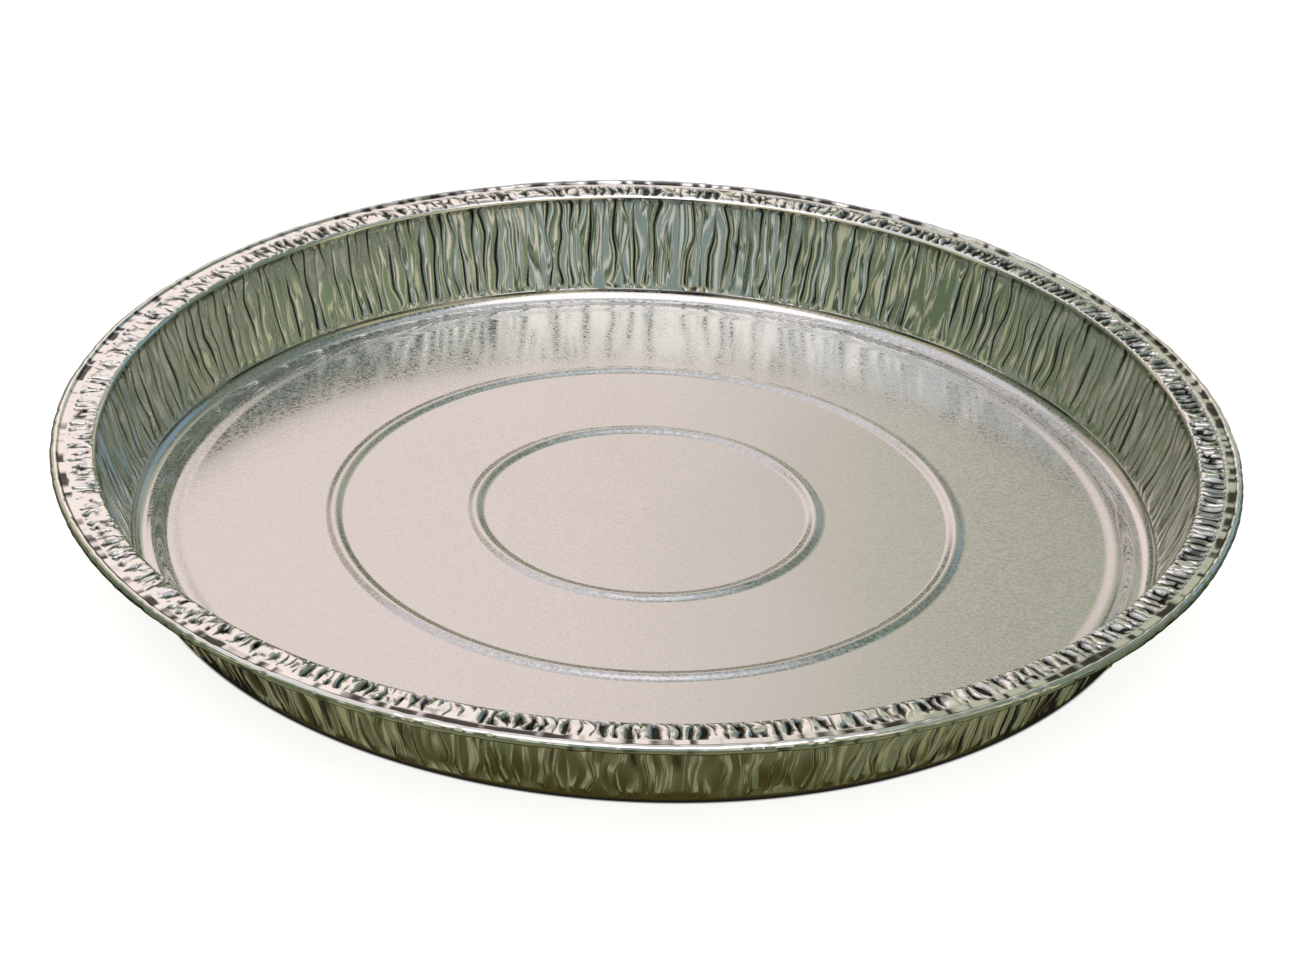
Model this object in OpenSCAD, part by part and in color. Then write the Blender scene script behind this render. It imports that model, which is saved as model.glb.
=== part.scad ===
// Round pie tin pressed from one piece of thin aluminium foil.
// The floor carries two raised stiffening rings inside a raised panel, and the tin rests on the
// flat channel round that panel. The wall is gathered into folds, the flange is crimped, and the
// rim ends in a curl rolled outwards and under. The origin is the middle of the resting face.

/* [Tin] */
// Diameter over the curled rim
rim_d = 250; // [230:1:290]
// Height from the table to the top of the curl
tin_h = 24; // [18:0.5:32]
// Thickness of the foil
foil = 0.12; // [0.1:0.01:0.16]

/* [Floor] */
// Inside radius of the corner between floor and wall
corner_r = 3.4; // [2.5:0.1:4.5]
// Width of the resting channel, from the corner to the crest at the raised panel's edge
channel_w = 4.7; // [3.5:0.1:6]
// Height of the panel above the channel
panel_h = 0.9; // [0.4:0.1:1.5]
// Height of the crest at the panel's edge, above the panel
crest_h = 0.5; // [0.2:0.1:0.8]
// Width of the slope that leads up to the crest
crest_w = 3.2; // [2:0.1:5]
// Width of the step from the crest down to the channel
step_w = 0.9; // [0.6:0.1:1.4]
// Diameter of the inner stiffening ring, at its crest
inner_ring_d = 73; // [50:1:90]
// Diameter of the outer stiffening ring, at its crest
outer_ring_d = 133; // [115:1:150]
// Width of a stiffening ring
ring_w = 3.8; // [2.5:0.1:6]
// Height of a stiffening ring above the panel
ring_h = 0.8; // [0.4:0.1:1.2]

/* [Wall] */
// How far the wall spreads between the flat floor and the flange
spread = 10.6; // [8:0.1:13]
// Number of folds round the wall
folds = 150; // [100:5:155]
// Depth of a fold, from crest to valley
fold_depth = 0.9; // [0.4:0.1:1.4]
// Height above the table at which the folds start
plain_h = 3.4; // [3:0.1:5]
// Height over which the folds grow to their full depth
growth_h = 3; // [2:0.5:5]

/* [Flange] */
// Width of the flange, from the wall to the outside of the curl
flange_w = 9.2; // [8:0.1:12]
// Radius of the shoulder between wall and flange
shoulder_r = 1.2; // [0.8:0.1:1.8]
// Depth of a crimp in the flange, from crest to valley
crimp_depth = 0.6; // [0.2:0.05:0.7]
// Width of the plain strip between the shoulder and the crimps
plain_w = 0.6; // [0.4:0.1:1]
// Diameter of the curl at the rim
curl_d = 2; // [1.6:0.1:2.6]
// Depth of the groove between the flange and the top of the curl
groove = 0.45; // [0.4:0.05:0.6]

/* [Hidden] */

foil_colour = "#c6c6c0";
// Steps in the corner, in a ring's cross section, in a slope of the floor and in the curl
bend_steps = 8;
ring_steps = 8;
ease_steps = 6;
curl_steps = 18;
// Angle at which the curl ends, tucked under the flange
curl_end = -150;
// How far the plain parts reach into the folded wall's two ends, and how much thicker those are
lap = 0.05;
lap_play = 0.05;
// Width of the plain strip between the crimps and the groove, and how much of it the curl brings
strip_w = 1.1;
curl_strip_w = 0.4;
// Sides of a turned surface
$fn = 180;
// Unevenness of the folds, as a share of their depth and of their width
depth_scatter = 0.45;
width_scatter = 0.3;
scatter_seed = 7;

rim_r = rim_d / 2;
base_r = rim_r - flange_w - spread;
panel_r = base_r - channel_w;
curl_r = curl_d / 2;
half = foil / 2;
flange_z = tin_h - groove - half;
panel_z = half + panel_h;

// The wall leans on the line that touches the corner's arc from outside and the shoulder's from inside
corner_mid_r = corner_r + half;
shoulder_mid_r = shoulder_r + half;
corner_c = [base_r, half + corner_mid_r];
shoulder_c = [rim_r - flange_w + shoulder_r, flange_z - shoulder_mid_r];
between = shoulder_c - corner_c;
lean = atan2(between[1], between[0]) + asin((corner_mid_r + shoulder_mid_r) / norm(between));
wall_dir = [cos(lean), sin(lean)];
wall_in = [-sin(lean), cos(lean)];
wall_foot = corner_c - corner_mid_r * wall_in;
wall_top = shoulder_c + shoulder_mid_r * wall_in;

// The curl's circle meets the flange at this angle
curl_c = [rim_r - curl_r, tin_h - curl_r];
curl_mid_r = curl_r - half;
curl_start = 180 - asin((flange_z - curl_c[1]) / curl_mid_r);
curl_inner_r = curl_c[0] + curl_mid_r * cos(curl_start);
seam_r = curl_inner_r - curl_strip_w;

// Points along an arc from angle a to angle b
function arc(c, r, a, b, n) = [for (i = [0:n]) c + r * [cos(a + (b - a) * i / n), sin(a + (b - a) * i / n)]];

// A raised ring's cross section, one cosine wave wide
function ring_bump(crest_r) =
    [for (i = [0:ring_steps]) let (s = 2 * i / ring_steps - 1)
        [crest_r + s * ring_w / 2, panel_z + ring_h * (1 + cos(180 * s)) / 2]];

// Half a cosine wave from one height to another, without its first point
function ease(r0, z0, r1, z1, n) =
    [for (i = [1:n]) [r0 + (r1 - r0) * i / n, z0 + (z1 - z0) * (1 - cos(180 * i / n)) / 2]];

// Point on the wall at a height
function wall_at(z) = wall_foot + wall_dir * (z - wall_foot[1]) / wall_dir[1];

// Unit normal of a path at one of its points, to the left of its run
function left_of(v) = [-v[1], v[0]] / norm(v);
function normal_at(p, i) =
    let (a = max(i - 1, 0), b = min(i + 1, len(p) - 1))
    i == 0 || i == len(p) - 1
        ? left_of(p[b] - p[a])
        : let (n = left_of(p[i] - p[a]) + left_of(p[b] - p[i])) n / (norm(n) * norm(n) / 2);

// A strip of the foil's thickness that follows a path
function strip(p) = concat(
    [for (i = [0:len(p) - 1]) p[i] - half * normal_at(p, i)],
    [for (i = [len(p) - 1:-1:0]) p[i] + half * normal_at(p, i)]);

base_path = concat(
    [[0, panel_z]],
    ring_bump(inner_ring_d / 2),
    ring_bump(outer_ring_d / 2),
    [[panel_r - crest_w, panel_z]],
    ease(panel_r - crest_w, panel_z, panel_r, panel_z + crest_h, ease_steps),
    ease(panel_r, panel_z + crest_h, panel_r + step_w, half, ease_steps),
    arc(corner_c, corner_mid_r, -90, lean - 90, bend_steps),
    [wall_at(plain_h + lap)]);

rim_path = concat(
    [[seam_r - lap, flange_z]],
    arc(curl_c, curl_mid_r, curl_start, curl_end, curl_steps));

// Floor, corner and the plain foot of the wall
module base() {
    rotate_extrude() polygon(strip(base_path));
}

// Curled rim with the plain edge of the flange
module curled_rim() {
    rotate_extrude() polygon(strip(rim_path));
}

// Stations up the wall and across the flange: place, direction of the fold, depth, half thickness
flange_in = [0, 1];
shoulder_in = (wall_in + flange_in) / norm(wall_in + flange_in);
crimp_r0 = shoulder_c[0] + plain_w;
crimp_r1 = curl_inner_r - strip_w;
stations = [
    [wall_at(plain_h), wall_in, 0, half + lap_play],
    [wall_at(plain_h + growth_h), wall_in, fold_depth / 2, half],
    [wall_top, wall_in, fold_depth / 2, half],
    [[shoulder_c[0], flange_z], flange_in, crimp_depth / 6, half],
    [[crimp_r0, flange_z], flange_in, crimp_depth / 2, half],
    [[crimp_r1, flange_z], flange_in, crimp_depth / 2, half],
    [[seam_r, flange_z], flange_in, 0, half + lap_play]];

columns = 2 * folds;
depth_noise = rands(-depth_scatter, depth_scatter, columns * len(stations), scatter_seed);
width_noise = rands(-width_scatter, width_scatter, columns * len(stations), scatter_seed + 1);

// Turning direction and depth of a fold at a column: crests and valleys take turns
function fold_at(s, j) =
    let (k = s * columns + j) stations[s][2] * (j % 2 == 0 ? 1 : -1) * (1 + depth_noise[k]);
function angle_at(s, j) =
    let (k = s * columns + j) 360 / columns * (j + (stations[s][2] == 0 ? 0 : width_noise[k]));

// A point of the folded band: side is 1 for the inside and upper face, -1 for the other
function band_point(s, j, side) =
    let (
        st = stations[s],
        p = st[0] + (fold_at(s, j) + side * st[3]) * st[1],
        a = angle_at(s, j))
    [p[0] * cos(a), p[0] * sin(a), p[1]];

// Gathered wall and crimped flange, one closed band of foil
module folded_band() {
    n = len(stations);
    ring = concat(
        [for (s = [0:n - 1]) [s, 1]],
        [for (s = [n - 1:-1:0]) [s, -1]]);
    m = len(ring);
    points = [for (j = [0:columns - 1]) for (q = ring) band_point(q[0], j, q[1])];
    // Both faces of the foil are cut along the same diagonals, so that they stay parallel
    faces = [for (j = [0:columns - 1]) for (k = [0:m - 1]) for (first = [true, false])
        let (
            a = j * m + k,
            b = j * m + (k + 1) % m,
            c = ((j + 1) % columns) * m + (k + 1) % m,
            d = ((j + 1) % columns) * m + k)
        k < n ? (first ? [a, c, b] : [a, d, c]) : (first ? [a, d, b] : [b, d, c])];
    polyhedron(points, faces, convexity = 10);
}

module pie_tin() {
    color(foil_colour) {
        base();
        folded_band();
        curled_rim();
    }
}

pie_tin();
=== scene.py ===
import math

import bpy
import numpy as np
from mathutils import Matrix, Vector


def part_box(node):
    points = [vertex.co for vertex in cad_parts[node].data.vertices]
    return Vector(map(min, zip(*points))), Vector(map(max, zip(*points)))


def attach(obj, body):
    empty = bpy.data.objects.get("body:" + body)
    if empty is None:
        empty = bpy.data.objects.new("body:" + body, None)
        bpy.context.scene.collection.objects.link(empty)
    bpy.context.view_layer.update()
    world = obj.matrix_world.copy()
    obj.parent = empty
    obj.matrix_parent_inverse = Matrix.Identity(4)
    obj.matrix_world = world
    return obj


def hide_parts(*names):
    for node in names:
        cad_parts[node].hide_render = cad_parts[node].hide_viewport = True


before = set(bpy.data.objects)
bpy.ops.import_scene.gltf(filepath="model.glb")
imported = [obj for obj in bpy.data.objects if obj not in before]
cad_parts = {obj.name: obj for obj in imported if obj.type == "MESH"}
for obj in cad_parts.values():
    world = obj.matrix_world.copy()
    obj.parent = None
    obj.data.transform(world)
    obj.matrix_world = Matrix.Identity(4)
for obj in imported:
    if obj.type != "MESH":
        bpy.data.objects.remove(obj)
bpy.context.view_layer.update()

# The floor. A disc of thin aluminium is pressed in one stroke, and the die draws its middle flat:
# a raised satin panel with two stiffening rings and a crest along its edge, a slope down to the bright
# channel that the tin stands on, and the round corner from which the wall climbs.
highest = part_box("pie_tin")[1]
rim_r, tin_h = highest.x, highest.z
foil = 0.00012
half = foil / 2
flange_w = 0.0092
spread = 0.0102
channel_w = 0.0047
base_r = rim_r - flange_w - spread
corner_r = 0.0034 + half
panel_r = base_r - channel_w
panel_h = 0.0009
crest_h = 0.00038
crest_w = 0.0032
step_w = 0.0038
ring_radii = (0.0365, 0.0665)
ring_w = 0.0042
ring_h = 0.0006
plain_h = 0.0021
springback_h = 0.0001
# How far the rim is out of round: shares of the sine and the cosine of twice the angle. How far it is
# out of level: shares of the cosine of the angle and of twice the angle, and all round.
out_of_round = (0.0004, -0.0011)
out_of_level = (0.0004, -0.0006, -0.0002)


def eased(t):
    """Half a cosine wave: 0 below t = 0, 1 above t = 1, smooth between."""
    return (1 - np.cos(np.pi * np.clip(t, 0, 1))) / 2


def floor_height(r):
    """Height of the pressed floor at a radius: the panel falls half a cosine wave to the channel, its
    edge rises half a wave to the crest, and each ring is one whole wave."""
    inside = 1 - eased((r - panel_r) / step_w)
    z = half + inside * (panel_h + crest_h * eased((r - panel_r + crest_w) / crest_w))
    for ring_r in ring_radii:
        z = z + ring_h * eased(1 - np.abs(r - ring_r) / (ring_w / 2))
    return z


def arc(centre, radius, start, stop, count):
    """Points of a circle from one angle to another, in degrees."""
    a = np.radians(np.linspace(start, stop, count))
    return centre + radius * np.stack([np.cos(a), np.sin(a)], axis=1)


def run_along(line):
    """Distance from the line's first point to each of its points."""
    return np.concatenate([[0], np.cumsum(np.hypot(*np.diff(line, axis=0).T))])


def foil_surface(line, rows, turns, lift, sway):
    """Middle of the foil: the line of the section is spun round the axis, pushed along its normal by
    lift(turn, run) and turned sideways by sway(turn, run) turns. Past its ends the line goes straight
    on. Towards the rim the tin is a little out of round and out of level, as thin foil is."""
    before, after = line[0] - line[1], line[-1] - line[-2]
    line = np.concatenate([[line[0] + before], line, [line[-1] + after]])
    run = run_along(line) - np.hypot(*before)
    slope = np.gradient(line, run, axis=0)
    slope = slope / np.hypot(*slope.T)[:, None]
    s, t = np.meshgrid(rows, turns, indexing="ij")
    out = lift(t, s)
    angle = 2 * np.pi * (t + sway(t, s))
    r = np.interp(s, run, line[:, 0]) - out * np.interp(s, run, slope[:, 1])
    z = np.interp(s, run, line[:, 1]) + out * np.interp(s, run, slope[:, 0])
    share = np.clip(z / tin_h, 0, 1)
    once, twice = np.cos(angle), np.cos(2 * angle)
    r = r + share * (out_of_round[0] * np.sin(2 * angle) + out_of_round[1] * twice)
    z = z + share * (out_of_level[0] * once + out_of_level[1] * twice + out_of_level[2])
    return np.stack([r * np.cos(angle), r * np.sin(angle), z], axis=-1)


def foil_quads(rows, columns, closed):
    """Corners of the shell's faces, point by point: the inside, the outside, and the caps between them
    along the last row and, unless the middle is closed, along the first. The caps come last."""
    i, j = np.meshgrid(np.arange(rows - 1), np.arange(columns), indexing="ij")
    a, b = i * columns + j, i * columns + (j + 1) % columns
    under, last = rows * columns, (rows - 1) * columns
    upper = np.stack([a, a + columns, b + columns, b], axis=-1).reshape(-1, 4)
    lower = np.stack([a, b, b + columns, a + columns], axis=-1).reshape(-1, 4) + under
    a, b = np.arange(columns), (np.arange(columns) + 1) % columns
    caps = np.stack([a, a + under, b + under, b], axis=-1) + last
    if not closed:
        caps = np.concatenate([caps, np.stack([a, b, b + under, a + under], axis=-1)])
    return np.concatenate([upper, lower, caps]), len(caps)


def foil_band(name, line, rows, turns, lift, sway, painted_shade, outside_shade):
    """Closed shell of foil along a line of the section: the middle surface is pushed half a thickness
    both ways along its true normal, which the rows and columns next to a point give. How much painted
    shade each point of the inside and of the outside takes is kept for the material to read."""
    step = min(1e-5, np.hypot(*(line[1] - line[0])))
    grid = foil_surface(line, np.array([rows[0] - step, *rows, rows[-1] + step]), turns, lift, sway)
    middle = grid[1:-1]
    along = grid[2:] - grid[:-2]
    round_tin = np.roll(middle, -1, axis=1) - np.roll(middle, 1, axis=1)
    normal = np.cross(along, round_tin)
    normal = normal / np.maximum(np.linalg.norm(normal, axis=-1, keepdims=True), 1e-12)
    closed = line[0][0] == 0
    if closed:
        normal[0] = (0, 0, 1)
    co = np.concatenate([middle + half * normal, middle - half * normal]).reshape(-1, 3)
    quads, caps = foil_quads(len(rows), len(turns), closed)
    mesh = bpy.data.meshes.new(name)
    mesh.vertices.add(len(co))
    mesh.vertices.foreach_set("co", co.astype(np.float32).ravel())
    mesh.loops.add(quads.size)
    mesh.loops.foreach_set("vertex_index", quads.astype(np.int32).ravel())
    mesh.polygons.add(len(quads))
    mesh.polygons.foreach_set("loop_start", np.arange(0, quads.size, 4, dtype=np.int32))
    mesh.polygons.foreach_set("use_smooth", np.ones(len(quads), dtype=bool))
    mesh.update(calc_edges=True)

    # The two faces of the foil are shaded smooth, and the caps flat
    p = co[quads[-caps:]]
    flat = np.cross(p[:, 2] - p[:, 0], p[:, 3] - p[:, 1])
    flat = flat / np.maximum(np.linalg.norm(flat, axis=1, keepdims=True), 1e-12)
    smooth = np.concatenate([normal, -normal]).reshape(-1, 3)[quads[:-caps].ravel()]
    mesh.normals_split_custom_set(np.concatenate([smooth, np.repeat(flat, 4, axis=0)]).astype(np.float32))
    s, t = np.meshgrid(rows, turns, indexing="ij")
    depth = np.clip([painted_shade(t, s), outside_shade(t, s)], 0, 1).astype(np.float32).ravel()
    mesh.attributes.new("painted_shade", "FLOAT", "POINT").data.foreach_set("value", depth)
    piece = bpy.data.objects.new(name, mesh)
    bpy.context.scene.collection.objects.link(piece)
    return piece


def waves(turn, up, cells, layers, seed):
    """Random heights on a grid of cells round the tin and layers up it, eased from one to the next,
    so the surface is smooth, closes on itself and lies between -1 and 1."""
    heights = np.random.default_rng(seed).uniform(-1, 1, (layers + 2, cells))
    x, y = (turn % 1) * cells, np.clip(up, 0, 1) * layers
    i, j = np.floor(x).astype(int), np.floor(y).astype(int)
    fx, fy = eased(x - i), eased(y - j)
    left, right = i % cells, (i + 1) % cells
    bottom = heights[j, left] * (1 - fx) + heights[j, right] * fx
    top = heights[j + 1, left] * (1 - fx) + heights[j + 1, right] * fx
    return bottom * (1 - fy) + top * fy


def waves_round(turn, cells, seed):
    """Random heights that change round the tin but not up it."""
    return waves(turn, turn * 0, cells, layers=1, seed=seed)


def nothing(turn, run):
    """No change anywhere."""
    return np.zeros_like(turn)


def springback(turn, run):
    """The pressed floor springs back a little: slow waves of a tenth of a millimetre, which die out
    at the middle and at the channel."""
    reach = run / floor_run[-1]
    slow = waves(turn, reach, cells=7, layers=3, seed=11)
    slow = slow + 0.5 * waves(turn, reach, cells=15, layers=6, seed=12)
    return springback_h * slow * eased(reach * 3) * eased((1 - reach) * 12)


# The painted line of shade near the top of the corner: how far it is from the floor's end, its half
# width, how much wider it gets at the back of the tin, and where that is and how far it reaches, in turns
line_drop = 0.0008
line_w = 0.0003
back_line_w = 0.0005
back_turn, back_spread = 0.245, 0.03


def corner_line_shade(turn, run):
    """A thin line of painted shade where the corner turns into the wall, deeper here and there and at its
    widest at the back of the tin."""
    width = line_w + back_line_w * np.exp(-((turn - back_turn) / back_spread) ** 2)
    away = np.abs(run - floor_run[-1] + line_drop) / width
    return eased(1.3 - away) * np.clip(0.65 + 0.5 * waves_round(turn, cells=60, seed=13), 0, 1)


# The wall is the line that touches the corner's arc from outside and the shoulder's from inside
shoulder_in_r = 0.0012
groove = 0.00045
shoulder_r = shoulder_in_r + half
flange_z = tin_h - groove - half
corner_at = np.array([base_r, half + corner_r])
shoulder_at = np.array([rim_r - flange_w + shoulder_in_r, flange_z - shoulder_r])
between = shoulder_at - corner_at
lean = math.degrees(
    math.atan2(between[1], between[0]) + math.asin((corner_r + shoulder_r) / np.hypot(*between)))
wall_dir = np.array([math.cos(math.radians(lean)), math.sin(math.radians(lean))])

flat_points = 4000
flat_r = np.linspace(0, base_r, flat_points)
corner_line = arc(corner_at, corner_r, -90, lean - 90, 400)
foot = corner_line[-1]
plain = foot + wall_dir * (plain_h - foot[1]) / wall_dir[1]
floor_line = np.concatenate([
    np.stack([flat_r, floor_height(flat_r)], axis=1)[:-1], corner_line, [plain - 1e-5 * wall_dir, plain]])
floor_run = run_along(floor_line)


def floor_rows(start, stop, count):
    """Evenly spaced rows between two radii of the floor."""
    flat_part = slice(flat_points)
    return np.linspace(*np.interp([start, stop], floor_line[flat_part, 0], floor_run[flat_part]), count)


# Few rows where the floor is flat, and many across the rings, the crest, the slope and the corner
floor_columns = 480
ring_reach = ring_w / 2 + 0.0002
rows = [floor_rows(*part) for part in [(0, 0.0335, 12), (0.045, 0.058, 2), (0.074, 0.093, 3)]]
rows += [floor_rows(ring_r - ring_reach, ring_r + ring_reach, 17) for ring_r in ring_radii]
rows.append(floor_rows(panel_r - crest_w, panel_r + step_w, 21))
rows.append(floor_rows(panel_r + step_w, base_r - 1e-5, 4))
rows.append(np.linspace(floor_run[flat_points - 1], floor_run[-3], 14))
rows.append(floor_run[-1:])
floor = foil_band(
    "tin_floor", floor_line, np.unique(np.round(np.concatenate(rows), 7)),
    np.arange(floor_columns) / floor_columns, springback, nothing, corner_line_shade, nothing)

# Bare aluminium carries a fine speckle from the rolling. Where a crease, groove or line is marked on the
# mesh, its colour is darkened with painted shade, for the light that is trapped there.
rolled = bpy.data.node_groups.new("rolled_foil_and_painted_shade", "ShaderNodeTree")
for socket, way, kind in [
    ("Shade", "INPUT", "NodeSocketColor"), ("Painted Crease Shade", "INPUT", "NodeSocketColor"),
    ("Roughness", "INPUT", "NodeSocketFloat"), ("Speckle", "INPUT", "NodeSocketFloat"),
    ("Relief", "INPUT", "NodeSocketFloat"), ("Color", "OUTPUT", "NodeSocketColor"),
    ("Roughness", "OUTPUT", "NodeSocketFloat"), ("Normal", "OUTPUT", "NodeSocketVector"),
]:
    rolled.interface.new_socket(socket, in_out=way, socket_type=kind)
taken, given = rolled.nodes.new("NodeGroupInput"), rolled.nodes.new("NodeGroupOutput")
place = rolled.nodes.new("ShaderNodeTexCoord")
stretched = rolled.nodes.new("ShaderNodeMapping")
stretched.inputs["Scale"].default_value = (1300, 1700, 1700)
grain = rolled.nodes.new("ShaderNodeTexNoise")
grain.inputs["Scale"].default_value = 1
grain.inputs["Detail"].default_value = 1
change = rolled.nodes.new("ShaderNodeMapRange")
change.inputs["From Min"].default_value = 0.3
change.inputs["From Max"].default_value = 0.7
change.inputs["To Min"].default_value = -1
rough = rolled.nodes.new("ShaderNodeMath")
rough.operation = "MULTIPLY_ADD"
relief = rolled.nodes.new("ShaderNodeBump")
painted_shade_mask = rolled.nodes.new("ShaderNodeAttribute")
painted_shade_mask.attribute_name = "painted_shade"
tone = rolled.nodes.new("ShaderNodeMix")
tone.data_type = "RGBA"
fleck = rolled.nodes.new("ShaderNodeMath")
fleck.operation = "MULTIPLY_ADD"
fleck.inputs[2].default_value = 1
flecked = rolled.nodes.new("ShaderNodeVectorMath")
flecked.operation = "SCALE"
for source, socket in [
    (place.outputs["Object"], stretched.inputs["Vector"]),
    (stretched.outputs["Vector"], grain.inputs["Vector"]),
    (grain.outputs["Fac"], change.inputs["Value"]),
    (change.outputs["Result"], rough.inputs[0]),
    (taken.outputs["Speckle"], rough.inputs[1]),
    (taken.outputs["Roughness"], rough.inputs[2]),
    (change.outputs["Result"], fleck.inputs[0]),
    (taken.outputs["Speckle"], fleck.inputs[1]),
    (taken.outputs["Relief"], relief.inputs["Distance"]),
    (grain.outputs["Fac"], relief.inputs["Height"]),
    (painted_shade_mask.outputs["Fac"], tone.inputs[0]),
    (taken.outputs["Shade"], tone.inputs[6]),
    (taken.outputs["Painted Crease Shade"], tone.inputs[7]),
    (tone.outputs[2], flecked.inputs[0]),
    (fleck.outputs["Value"], flecked.inputs["Scale"]),
    (flecked.outputs["Vector"], given.inputs["Color"]),
    (rough.outputs["Value"], given.inputs["Roughness"]),
    (relief.outputs["Normal"], given.inputs["Normal"]),
]:
    rolled.links.new(source, socket)


def foil_finish(name, shade, painted_crease_shade, roughness, speckle, relief_depth):
    """Bare metal with the rolling speckle and painted shade: a shade, the painted shade laid where the
    mesh marks a crease, a usual roughness, how far the speckle changes shade and roughness to both
    sides, and the speckle's depth."""
    material = bpy.data.materials.new(name)
    material.use_nodes = True
    nodes, links = material.node_tree.nodes, material.node_tree.links
    shader = nodes["Principled BSDF"]
    shader.inputs["Metallic"].default_value = 1
    group = nodes.new("ShaderNodeGroup")
    group.name = "foil"
    group.node_tree = rolled
    group.inputs["Shade"].default_value = (*shade, 1)
    group.inputs["Painted Crease Shade"].default_value = (*painted_crease_shade, 1)
    group.inputs["Roughness"].default_value = roughness
    group.inputs["Speckle"].default_value = speckle
    group.inputs["Relief"].default_value = relief_depth
    links.new(group.outputs["Color"], shader.inputs["Base Color"])
    links.new(group.outputs["Roughness"], shader.inputs["Roughness"])
    links.new(group.outputs["Normal"], shader.inputs["Normal"])
    return material


def across_radius(tree, start, stop, inner, outer):
    """A value in a node tree that goes from the inner one to the outer one between two distances from
    the axis."""
    nodes, links = tree.nodes, tree.links
    centre = nodes.new("ShaderNodeTexCoord")
    flatten = nodes.new("ShaderNodeVectorMath")
    flatten.operation = "MULTIPLY"
    flatten.inputs[1].default_value = (1, 1, 0)
    radius = nodes.new("ShaderNodeVectorMath")
    radius.operation = "LENGTH"
    value = nodes.new("ShaderNodeMapRange")
    value.inputs["From Min"].default_value = start
    value.inputs["From Max"].default_value = stop
    value.inputs["To Min"].default_value = inner
    value.inputs["To Max"].default_value = outer
    links.new(centre.outputs["Object"], flatten.inputs[0])
    links.new(flatten.outputs["Vector"], radius.inputs[0])
    links.new(radius.outputs["Value"], value.inputs["Value"])
    return value.outputs["Result"]


# The panel is satin, and the step that presses its edge leaves the channel and the corner brighter
satin_roughness, bright_roughness = 0.23, 0.15
press_edge = 0.0006
# Its shade is painted darker than the rim's, though it is the same foil, so that the floor looks less
# bright than the flange
satin = foil_finish(
    "foil_satin", shade=(0.82, 0.80, 0.79), painted_crease_shade=(0.03, 0.03, 0.02),
    roughness=satin_roughness, speckle=0.14, relief_depth=0.0000025)
tree = satin.node_tree
tree.links.new(
    across_radius(tree, panel_r - press_edge, panel_r + press_edge, satin_roughness, bright_roughness),
    tree.nodes["foil"].inputs["Roughness"])
floor.data.materials.append(satin)
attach(floor, "root")
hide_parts("pie_tin")

# The wall. The sheet has to shrink as it is drawn up, so it gathers into sharp creases with nearly
# flat faces between them. They wander, run into one another and end just above the corner.
fold_count = 264
fold_depth = 0.00060
face_tilt = 0.00042
ridge_h = 0.00028
slow_wave_h = 0.0002
bow = 0.00040
# Two small pits in the wall: turn and share of the way up, then their depth and their radius
pits = ((0.2245, 0.55), (0.9885, 0.35))
pit_depth = 0.0005
pit_r = 0.0006
outside_shade_lines = 96

top = shoulder_at + shoulder_r * np.array([-wall_dir[1], wall_dir[0]])
wall_line = np.linspace(plain, top, 200)
wall_len = np.hypot(*(top - plain))


def crease_table(turn, up, count, layers, seed):
    """Random value of the crease before a place and of the crease after it, each eased from layer to
    layer up the foil, and the share of the way from the one to the other."""
    values = np.random.default_rng(seed).uniform(-1, 1, (layers + 2, count))
    phase = turn * count + 1e-6
    k = np.floor(phase).astype(int)
    y = np.clip(up, 0, 1) * layers
    j = np.floor(y).astype(int)
    fy = eased(y - j)
    before = values[j, k % count] * (1 - fy) + values[j + 1, k % count] * fy
    after = values[j, (k + 1) % count] * (1 - fy) + values[j + 1, (k + 1) % count] * fy
    return before, after, phase - k


def straight(table):
    """Straight from the value of one crease to that of the next."""
    before, after, share = table
    return before * (1 - share) + after * share


def valleys(table, usual, change, width):
    """Narrow valley at each crease, which falls off exponentially to both sides. Its depth is the
    usual one plus a random change, between nothing and 1."""
    before, after, share = table
    at_before = np.clip(usual + change * before, 0.03, 1) * np.exp(-share / width)
    return at_before + np.clip(usual + change * after, 0.03, 1) * np.exp(-(1 - share) / width)


def gaps(table, usual, change, edge):
    """Shut gap at each crease: 1 as far to both sides as its random value says, as a share of the
    spacing, then half a cosine wave down to 0 at the edge."""
    before, after, share = table
    near = eased(1 + (usual + change * before - share) / edge)
    return near + eased(1 + (usual + change * after - (1 - share)) / edge)


def faded(share, start, grow, end, fade):
    """Up from 0 to 1 over the first stretch and back to 0 over the last, half a cosine wave each."""
    return eased((share - start) / grow) * eased((end - share) / fade)


def pitted(turn, up):
    """Bell curve round each pit: 1 at its middle."""
    depth = 0
    for pit_turn, pit_up in pits:
        away = np.hypot((turn - pit_turn) * 2 * np.pi * rim_r, (up - pit_up) * wall_len)
        depth = depth + np.exp(-(away / pit_r) ** 2)
    return depth


def fold_lift(turn, run):
    """Valleys at the creases, faces that run straight from one random height to the next with a
    narrow ridge halfway, slow waves, an outward bow of half a sine wave, and two small pits."""
    up = run / wall_len
    grown = faded(up, start=0, grow=0.09, end=1, fade=0.05)
    folds = crease_table(turn, up, fold_count, layers=2, seed=21)
    faces = crease_table(turn, up, fold_count, layers=2, seed=22)
    ridges = crease_table(turn + 0.5 / fold_count, up, fold_count, layers=3, seed=29)
    lift = -fold_depth * valleys(folds, usual=0.6, change=0.7, width=0.09)
    lift = lift + face_tilt * straight(faces)
    lift = lift + ridge_h * valleys(ridges, usual=0.3, change=0.9, width=0.09)
    lift = (lift + slow_wave_h * waves(turn, up, cells=48, layers=2, seed=23)) * grown
    return lift - pit_depth * pitted(turn, up) - bow * np.sin(np.pi * np.clip(up, 0, 1))


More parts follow.
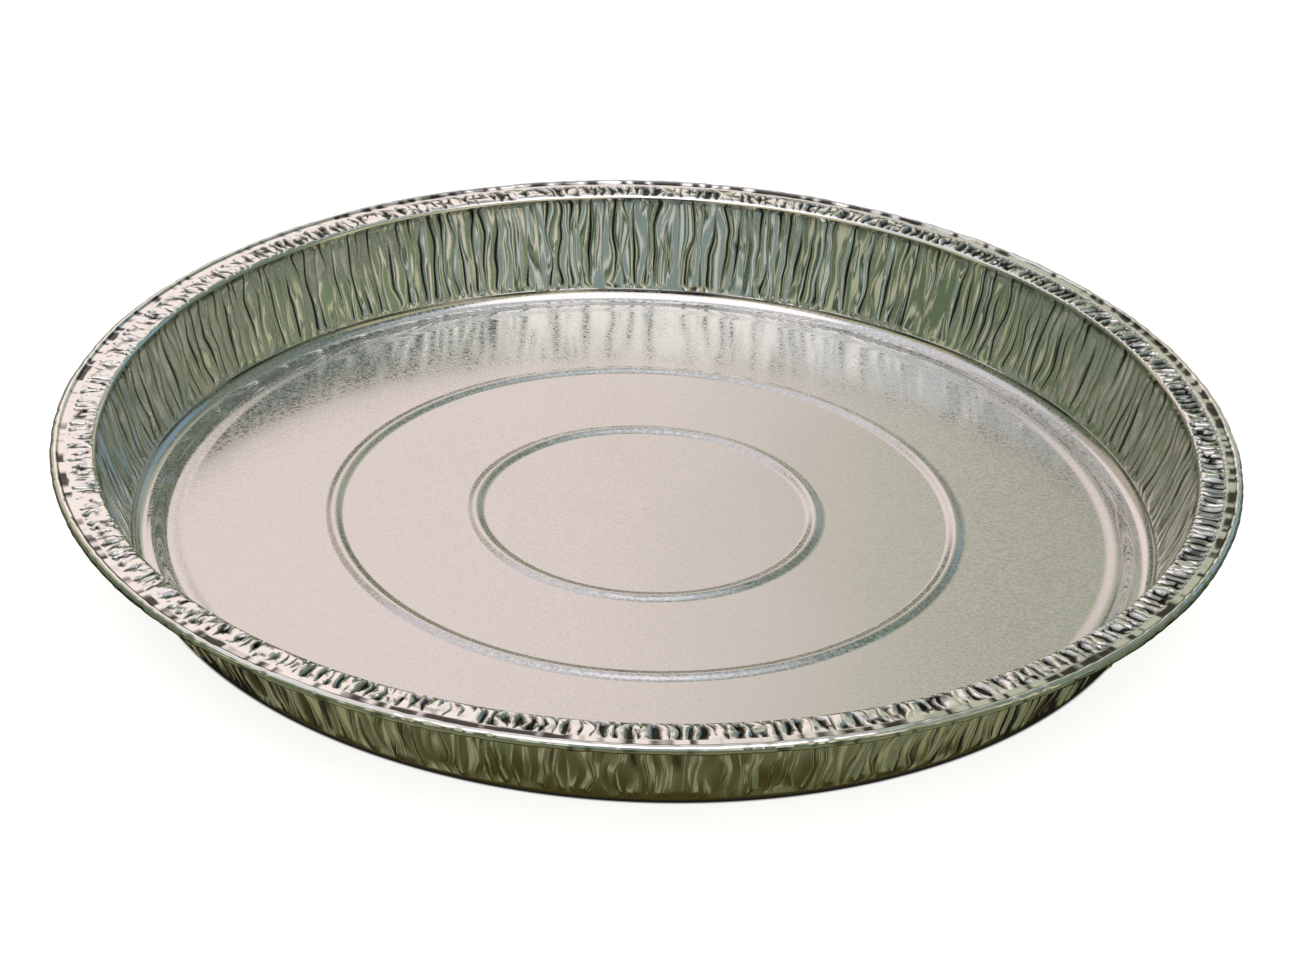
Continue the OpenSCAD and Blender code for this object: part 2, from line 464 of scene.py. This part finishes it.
def fold_sway(turn, run):
    """Every crease wanders sideways by up to a third of the way to its neighbours."""
    up = run / wall_len
    slow = straight(crease_table(turn, up, fold_count, layers=3, seed=24))
    quick = straight(crease_table(turn, up, fold_count, layers=7, seed=25))
    wander = (0.36 * slow + 0.10 * quick) / fold_count
    return wander * faded(up, start=0, grow=0.1, end=1, fade=0.05)


def fold_painted_shade(turn, run):
    """Painted shade in the valleys' bottoms, on the tops of the folds where they tuck under the flange,
    and in the pits.
    """
    up = run / wall_len
    grown = faded(up, start=0.02, grow=0.07, end=1.02, fade=0.04)
    folds = crease_table(turn, up, fold_count, layers=2, seed=21)
    valley_shade = gaps(folds, usual=0.02, change=0.10, edge=0.09) * grown
    tuck_shade = 0.7 * eased((up - 0.92) / 0.05) * (0.7 + 0.3 * waves_round(turn, cells=300, seed=26))
    return valley_shade + tuck_shade + pitted(turn, up)


def fold_outside_painted_shade(turn, run):
    """Painted lines of shade outside, few of them: they slant across the upper half of the wall, one
    way or the other.
    """
    up = run / wall_len
    slant = 1.3 * (up - 0.5) * waves_round(turn, cells=26, seed=27) / outside_shade_lines
    shade_lines = crease_table(turn + slant, up, outside_shade_lines, layers=2, seed=28)
    return 0.7 * gaps(shade_lines, usual=-0.05, change=0.10, edge=0.05) * eased((up - 0.30) / 0.25)


def crease_columns(count, shares):
    """Turns of the mesh's columns: a few for each crease, packed close where the foil bends sharply."""
    return ((np.arange(count)[:, None] + np.array(shares)) / count).ravel()


rows = wall_len * np.concatenate([
    np.linspace(0, 0.12, 4), np.linspace(0.20, 0.94, 11), np.linspace(0.97, 1, 2)])
columns = crease_columns(fold_count, (0, 0.06, 0.14, 0.30, 0.43, 0.50, 0.57, 0.70, 0.86, 0.94))
wall = foil_band("tin_wall", wall_line, rows, columns, fold_lift, fold_sway, fold_painted_shade, fold_outside_painted_shade)
# Its crease shade is the painted shade in the valleys, on the folds' tops and in the pits
wall.data.materials.append(foil_finish(
    "foil_folds", shade=(0.80, 0.82, 0.77), painted_crease_shade=(0.04, 0.04, 0.03),
    roughness=0.14, speckle=0.03, relief_depth=0.000002))
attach(wall, "root")
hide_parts("pie_tin")

# The flange. The gathers cross it as short radial crimps, which the die has flattened into facets
# that catch the light one by one. A smooth strip is left along the curl, with a deep groove between.
crimp_count = 350
crimp_depth = 0.00055
crimp_tilt = 0.00018
strip_w = 0.0017
# How far in from the curl the painted shade in the groove reaches, how much that changes from the front
# of the tin to its back and at random, and how soft its edge is
groove_shade_w = 0.0013
groove_shade_front_w = 0.0004
groove_shade_random_w = 0.0003
groove_shade_edge = 0.0003

curl_r = 0.001 - half
curl_end = -150
curl_at = np.array([rim_r - curl_r - half, tin_h - curl_r - half])
curl_start = 180 - math.degrees(math.asin((flange_z - curl_at[1]) / curl_r))
shoulder_points = 200
shoulder_line = arc(shoulder_at, shoulder_r, lean + 90, 90, shoulder_points)
curl_line = arc(curl_at, curl_r, curl_start, curl_end, 600)
flange_line = np.concatenate([shoulder_line[:-1], np.linspace(shoulder_line[-1], curl_line[0], 200)])
flange_run = run_along(flange_line)
shoulder_len = flange_run[shoulder_points - 1]
crimp_len = flange_run[-1] - strip_w - shoulder_len / 2


def crimp_out(run):
    """Share of the way across the crimped part, from halfway over the shoulder to the strip."""
    return (run - shoulder_len / 2) / crimp_len


def crimp_valleys(turn, out):
    """The crimps' valleys, 1 deep. Their usual half width is a share of the spacing, and it is largest
    on the right of the tin."""
    usual = 0.12 * np.cos(2 * np.pi * turn) + 0.08
    return gaps(crease_table(turn, out, crimp_count, layers=2, seed=31), usual, change=0.24, edge=0.10)


def crimp_lift(turn, run):
    """Narrow radial valleys with straight facets between them, which end at the shoulder and at the
    strip."""
    out = crimp_out(run)
    valley = crimp_valleys(turn, out)
    facets = straight(crease_table(turn, out, crimp_count, layers=3, seed=32))
    flat = faded(out, start=0, grow=0.14, end=1, fade=0.08)
    return (crimp_tilt * facets - crimp_depth * valley) * flat


def crimp_sway(turn, run):
    """Crimps lean to either side and kink on their way across the flange."""
    kinks = straight(crease_table(turn, crimp_out(run), crimp_count, layers=2, seed=33))
    return 0.32 * kinks / crimp_count


def groove_shade(turn):
    """How dark the painted shade in the groove along the curl is: it breaks off for a moment every few
    millimetres.
    """
    long, short = waves_round(turn, cells=37, seed=35), waves_round(turn, cells=520, seed=34)
    return np.clip(0.4 + 1.4 * short + 0.7 * long, 0, 0.95)


def crimp_painted_shade(turn, run):
    """Painted shade in the bottoms of the crimps, as dark flecks here and there, and in the groove along
    the curl, which is wider at the front of the tin than at the back."""
    out = crimp_out(run)
    width = groove_shade_w - groove_shade_front_w * np.sin(2 * np.pi * turn)
    width = width + groove_shade_random_w * waves_round(turn, cells=300, seed=37)
    flat = faded(out, start=0.03, grow=0.10, end=1.02, fade=0.06)
    valley = crimp_valleys(turn, out)
    fleck_shade = np.clip(4 * waves(turn, out, cells=1000, layers=4, seed=36) - 1.9, 0, 1)
    curl_groove_shade = eased((run - flange_run[-1] + width) / groove_shade_edge) * groove_shade(turn)
    return (valley + fleck_shade) * flat + curl_groove_shade


rows = np.concatenate([
    shoulder_len * np.linspace(0, 0.5, 3),
    shoulder_len / 2 + crimp_len * np.linspace(0.08, 1, 8),
    flange_run[-1] - np.array([0.0014, 0.0011, 0.0008, 0.0005, 0])])
columns = crease_columns(crimp_count, (0, 0.07, 0.14, 0.23, 0.5, 0.77, 0.86, 0.93))
flange = foil_band(
    "tin_flange", flange_line, rows, columns, crimp_lift, crimp_sway, crimp_painted_shade, nothing)
# Its crease shade is the painted shade in the crimps, the flecks and the groove, and on the curl
rim_finish = foil_finish(
    "foil_rim", shade=(0.97, 0.96, 0.94), painted_crease_shade=(0.015, 0.012, 0.01),
    roughness=0.12, speckle=0.03, relief_depth=0.000002)
flange.data.materials.append(rim_finish)
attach(flange, "root")
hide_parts("pie_tin")

# The curl. The edge beyond the flange is rolled outwards and under, so that no cut edge is left. It
# keeps small dents from the rolling, and dark flecks are painted round its outer side. It rises out of
# the groove over its first stretch.
dent_h, long_dent_h = 0.00010, 0.00008
rise_len = 0.0008
# Run over which the dents and the painted dark flecks go through their layers, and where the flecks start
dent_run = 0.006
fleck_start, fleck_edge = 0.0018, 0.0005
curl_rows, curl_columns = 24, 1600


def curl_dents(turn, run):
    """Dents of a tenth of a millimetre, as close as the crimps, on top of longer ones. They start
    from nothing at the groove."""
    dents = dent_h * waves(turn, run / dent_run, cells=420, layers=3, seed=41)
    return (dents + long_dent_h * waves_round(turn, cells=90, seed=42)) * eased(run / rise_len)


def curl_painted_shade(turn, run):
    """Painted shade at the start of the curl, where it rises out of the groove, and painted dark flecks
    round its outer side.
    """
    rising_shade = groove_shade(turn) * eased((rise_len - run) / groove_shade_edge)
    painted_flecks = np.clip(3 * waves(turn, run / dent_run, cells=500, layers=3, seed=43) - 1, 0, 1)
    return rising_shade + 0.7 * painted_flecks * eased((run - fleck_start) / fleck_edge)


curl = foil_band(
    "tin_curl", curl_line, np.linspace(0, run_along(curl_line)[-1], curl_rows),
    np.arange(curl_columns) / curl_columns, curl_dents, nothing, curl_painted_shade, nothing)
curl.data.materials.append(rim_finish)
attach(curl, "root")
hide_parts("pie_tin")

# The table, which isn't part of the tin: a plain white sheet, lit and made to glow so that it washes
# out, with a painted shadow, a dark disc whose edge shows as a black line where the tin's corner rests
# on it. The foil doesn't mirror it, as the photograph's background was taken away behind the tin.
table_reach = 12
shade_end, shade_edge = base_r + 0.0018, 0.0006
table_mesh = bpy.data.meshes.new("table")
corners = [(x * table_reach, y * table_reach, 0) for x, y in [(-1, -1), (1, -1), (1, 1), (-1, 1)]]
table_mesh.from_pydata(corners, [], [(0, 1, 2, 3)])
table = bpy.data.objects.new("table", table_mesh)
bpy.context.scene.collection.objects.link(table)
white = bpy.data.materials.new("white_sheet_painted_shadow")
white.use_nodes = True
tree = white.node_tree
paper = tree.nodes["Principled BSDF"]
paper.inputs["Roughness"].default_value = 0.9
paper.inputs["Emission Strength"].default_value = 0.88
painted_shadow = across_radius(tree, shade_end, shade_end + shade_edge, inner=0.01, outer=0.9)
tree.links.new(painted_shadow, paper.inputs["Base Color"])
tree.links.new(painted_shadow, paper.inputs["Emission Color"])
table_mesh.materials.append(white)
table.visible_glossy = False

# The room's light, as a dome round the tin: dim and green all round, olive below, a pinkish wall lit
# behind the tin to the left, narrow bright strips in front for the back wall's folds to mirror, and
# one large soft lamp over the camera. The patches are painted over the dome one after another.
scene = bpy.context.scene
world = bpy.data.worlds.new("room")
scene.world = world
world.use_nodes = True
nodes, links = world.node_tree.nodes, world.node_tree.links


def towards(azimuth, elevation):
    """Direction at an azimuth, 0 behind the tin and 90 to its right, and an elevation, in degrees."""
    a, e = math.radians(azimuth), math.radians(elevation)
    return math.sin(a) * math.cos(e), math.cos(a) * math.cos(e), math.sin(e)


def sine(degrees):
    """Sine of an angle in degrees."""
    return math.sin(math.radians(degrees))


def vector_node(operation, *values):
    """A vector node of one operation, whose inputs are other nodes' outputs or plain values."""
    node = nodes.new("ShaderNodeVectorMath")
    node.operation = operation
    for socket, value in zip(node.inputs, values):
        if isinstance(value, bpy.types.NodeSocket):
            links.new(value, socket)
        else:
            socket.default_value = value
    return node.outputs


def between_edges(value, start, stop):
    """Smooth step from 0 to 1 as the value goes from one edge to the other."""
    node = nodes.new("ShaderNodeMapRange")
    node.interpolation_type = "SMOOTHSTEP"
    node.inputs["From Min"].default_value = start
    node.inputs["From Max"].default_value = stop
    links.new(value, node.inputs["Value"])
    return node.outputs["Result"]


def painted(light, shares, colour):
    """The light with a colour laid over it where all the shares are 1."""
    share = shares[0]
    for other in shares[1:]:
        product = nodes.new("ShaderNodeMath")
        product.operation = "MULTIPLY"
        links.new(share, product.inputs[0])
        links.new(other, product.inputs[1])
        share = product.outputs["Value"]
    mix = nodes.new("ShaderNodeMix")
    mix.data_type = "RGBA"
    links.new(share, mix.inputs[0])
    links.new(light, mix.inputs[6])
    mix.inputs[7].default_value = (*colour, 1)
    return mix.outputs[2]


direction = nodes.new("ShaderNodeTexCoord").outputs["Generated"]
level = vector_node("NORMALIZE", vector_node("MULTIPLY", direction, (1, 1, 0))["Vector"])["Vector"]
height = vector_node("DOT_PRODUCT", direction, (0, 0, 1))["Value"]


def patch(light, azimuth, width, bottom, top, side_soft, level_soft, colour):
    """The light with a patch of colour: as far to both sides of an azimuth as its width says, between
    two elevations, and soft to both sides of these edges, all in degrees."""
    side = vector_node("DOT_PRODUCT", level, towards(azimuth, 0))["Value"]
    return painted(light, [
        between_edges(side, sine(90 - width - side_soft), sine(90 - max(width - side_soft, 0))),
        between_edges(height, sine(bottom - level_soft), sine(bottom + level_soft)),
        between_edges(height, sine(top + level_soft), sine(top - level_soft)),
    ], colour)


half_height = nodes.new("ShaderNodeMath")
half_height.operation = "MULTIPLY_ADD"
half_height.inputs[1].default_value = 0.5
half_height.inputs[2].default_value = 0.5
links.new(height, half_height.inputs[0])
dome = nodes.new("ShaderNodeValToRGB")
links.new(half_height.outputs["Value"], dome.inputs["Fac"])
# The dome's shade at each elevation
shades = [
    (-90, (0.052, 0.042, 0.010)),
    (-77, (0.082, 0.074, 0.026)),
    (-68, (0.130, 0.136, 0.068)),
    (-56, (0.185, 0.195, 0.115)),
    (-40, (0.150, 0.160, 0.090)),
    (0, (0.095, 0.125, 0.075)),
    (10, (0.130, 0.170, 0.100)),
    (25, (0.130, 0.165, 0.115)),
    (40, (0.210, 0.225, 0.180)),
    (60, (0.430, 0.460, 0.460)),
    (90, (0.700, 0.730, 0.800)),
]
while len(dome.color_ramp.elements) < len(shades):
    dome.color_ramp.elements.new(0.5)
for element, (elevation, shade) in zip(dome.color_ramp.elements, shades):
    element.position = (sine(elevation) + 1) / 2
    element.color = (*shade, 1)

light = dome.outputs["Color"]
for azimuth, width, bottom, top, soft, colour in [
    # Low behind the tin: the side walls mirror it
    (0, 70, -14, 14, 5, (0.13, 0.13, 0.065)),
    (40, 30, 0, 17, 5, (0.07, 0.10, 0.055)),
    (42, 12, 10, 30, 5, (0.22, 0.34, 0.43)),
    (22, 8, -8, 13, 4, (0.58, 0.53, 0.36)),
    (-22, 7, -8, 13, 4, (0.42, 0.40, 0.27)),
    # Behind the tin, at the camera's elevation: the floor mirrors it
    (-36, 16, 8, 42, 6, (0.50, 0.45, 0.37)),
    (10, 10, 20, 42, 6, (0.45, 0.47, 0.36)),
    (24, 6, 12, 26, 4, (0.34, 0.40, 0.42)),
    (-26, 6, 3, 16, 4, (0.12, 0.18, 0.14)),
    (-11, 14, 20, 42, 6, (0.96, 0.84, 0.81)),
    # High to both sides
    (-50, 46, 44, 68, 6, (0.72, 0.69, 0.70)),
    (-88, 30, 46, 80, 10, (0.66, 0.69, 0.74)),
    (46, 22, 40, 60, 8, (0.17, 0.22, 0.19)),
    (96, 24, 34, 62, 8, (0.13, 0.18, 0.16)),
    # Below, past the table: the outside of the wall mirrors it
    (100, 10, -70, -56, 5, (0.30, 0.28, 0.15)),
    (-100, 10, -70, -56, 5, (0.34, 0.31, 0.18)),
    (0, 70, -82, -50, 8, (0.045, 0.037, 0.012)),
    (0, 75, -52, -16, 6, (0.012, 0.010, 0.008)),
    # In front and to both sides: the back wall and its folds mirror it
    (119, 28, 4, 37, 8, (0.20, 0.25, 0.155)),
    (-119, 28, 4, 37, 8, (0.125, 0.165, 0.10)),
    (180, 26, 4, 37, 8, (0.25, 0.31, 0.30)),
    (134, 4, 4, 34, 3, (0.78, 0.70, 0.60)),
    (152, 3, 4, 34, 2, (0.05, 0.08, 0.045)),
    (160, 3, 4, 34, 2, (0.70, 0.68, 0.62)),
    (104, 4, 4, 34, 3, (0.56, 0.53, 0.36)),
    (-150, 5, 4, 34, 4, (0.05, 0.08, 0.045)),
    (-138, 4, 4, 34, 4, (0.52, 0.51, 0.38)),
    (-165, 3, 4, 34, 2, (0.68, 0.68, 0.62)),
    (-105, 4, 4, 34, 3, (0.46, 0.44, 0.30)),
]:
    light = patch(light, azimuth, width, bottom, top, soft, soft / 2, colour)
# The lamp: its elevation, and how far from its middle it begins to fade and ends, in degrees
lamp_elevation, lamp_fade, lamp_end = 73, 25, 29
lamp_colour = (1.35, 1.30, 1.30)
near = vector_node("DOT_PRODUCT", direction, towards(180, lamp_elevation))["Value"]
light = painted(light, [between_edges(near, sine(90 - lamp_end), sine(90 - lamp_fade))], lamp_colour)
# A cream ledge below the lamp, with a black gap in its middle, for the foot of the back wall
for width, colour in [(85, (0.52, 0.47, 0.30)), (12, (0.02, 0.018, 0.012))]:
    light = patch(light, 180, width, bottom=35, top=47, side_soft=3, level_soft=1, colour=colour)
links.new(light, nodes["Background"].inputs["Color"])

# The camera, at the photograph's height, distance and slight roll.
photo_w, photo_h = 1300, 975
view_height = math.radians(29.17)
view_roll = math.radians(2.56)
view_distance = 5.0 * rim_r
focal_px = 2917
target_px = (645.6, 506.1)
target_z = 0.0018
camera_data = bpy.data.cameras.new("camera")
camera_data.sensor_width = 36
camera_data.lens = focal_px / photo_w * camera_data.sensor_width
camera = bpy.data.objects.new("camera", camera_data)
scene.collection.objects.link(camera)
scene.camera = camera
target = Vector((0, 0, target_z))
back = Vector((0, -math.cos(view_height), math.sin(view_height)))
right = Vector((1, 0, 0))
facing = Matrix((right, back.cross(right), back)).transposed()
turned = Matrix.Rotation(view_roll, 3, "Z")
pan = Matrix.Rotation(math.atan((target_px[0] - photo_w / 2) / focal_px), 3, "Y")
tilt = Matrix.Rotation(math.atan((target_px[1] - photo_h / 2) / focal_px), 3, "X")
camera.matrix_world = (
    Matrix.Translation(target + back * view_distance) @ (facing @ turned @ pan @ tilt).to_4x4())
scene.view_settings.view_transform = "Standard"
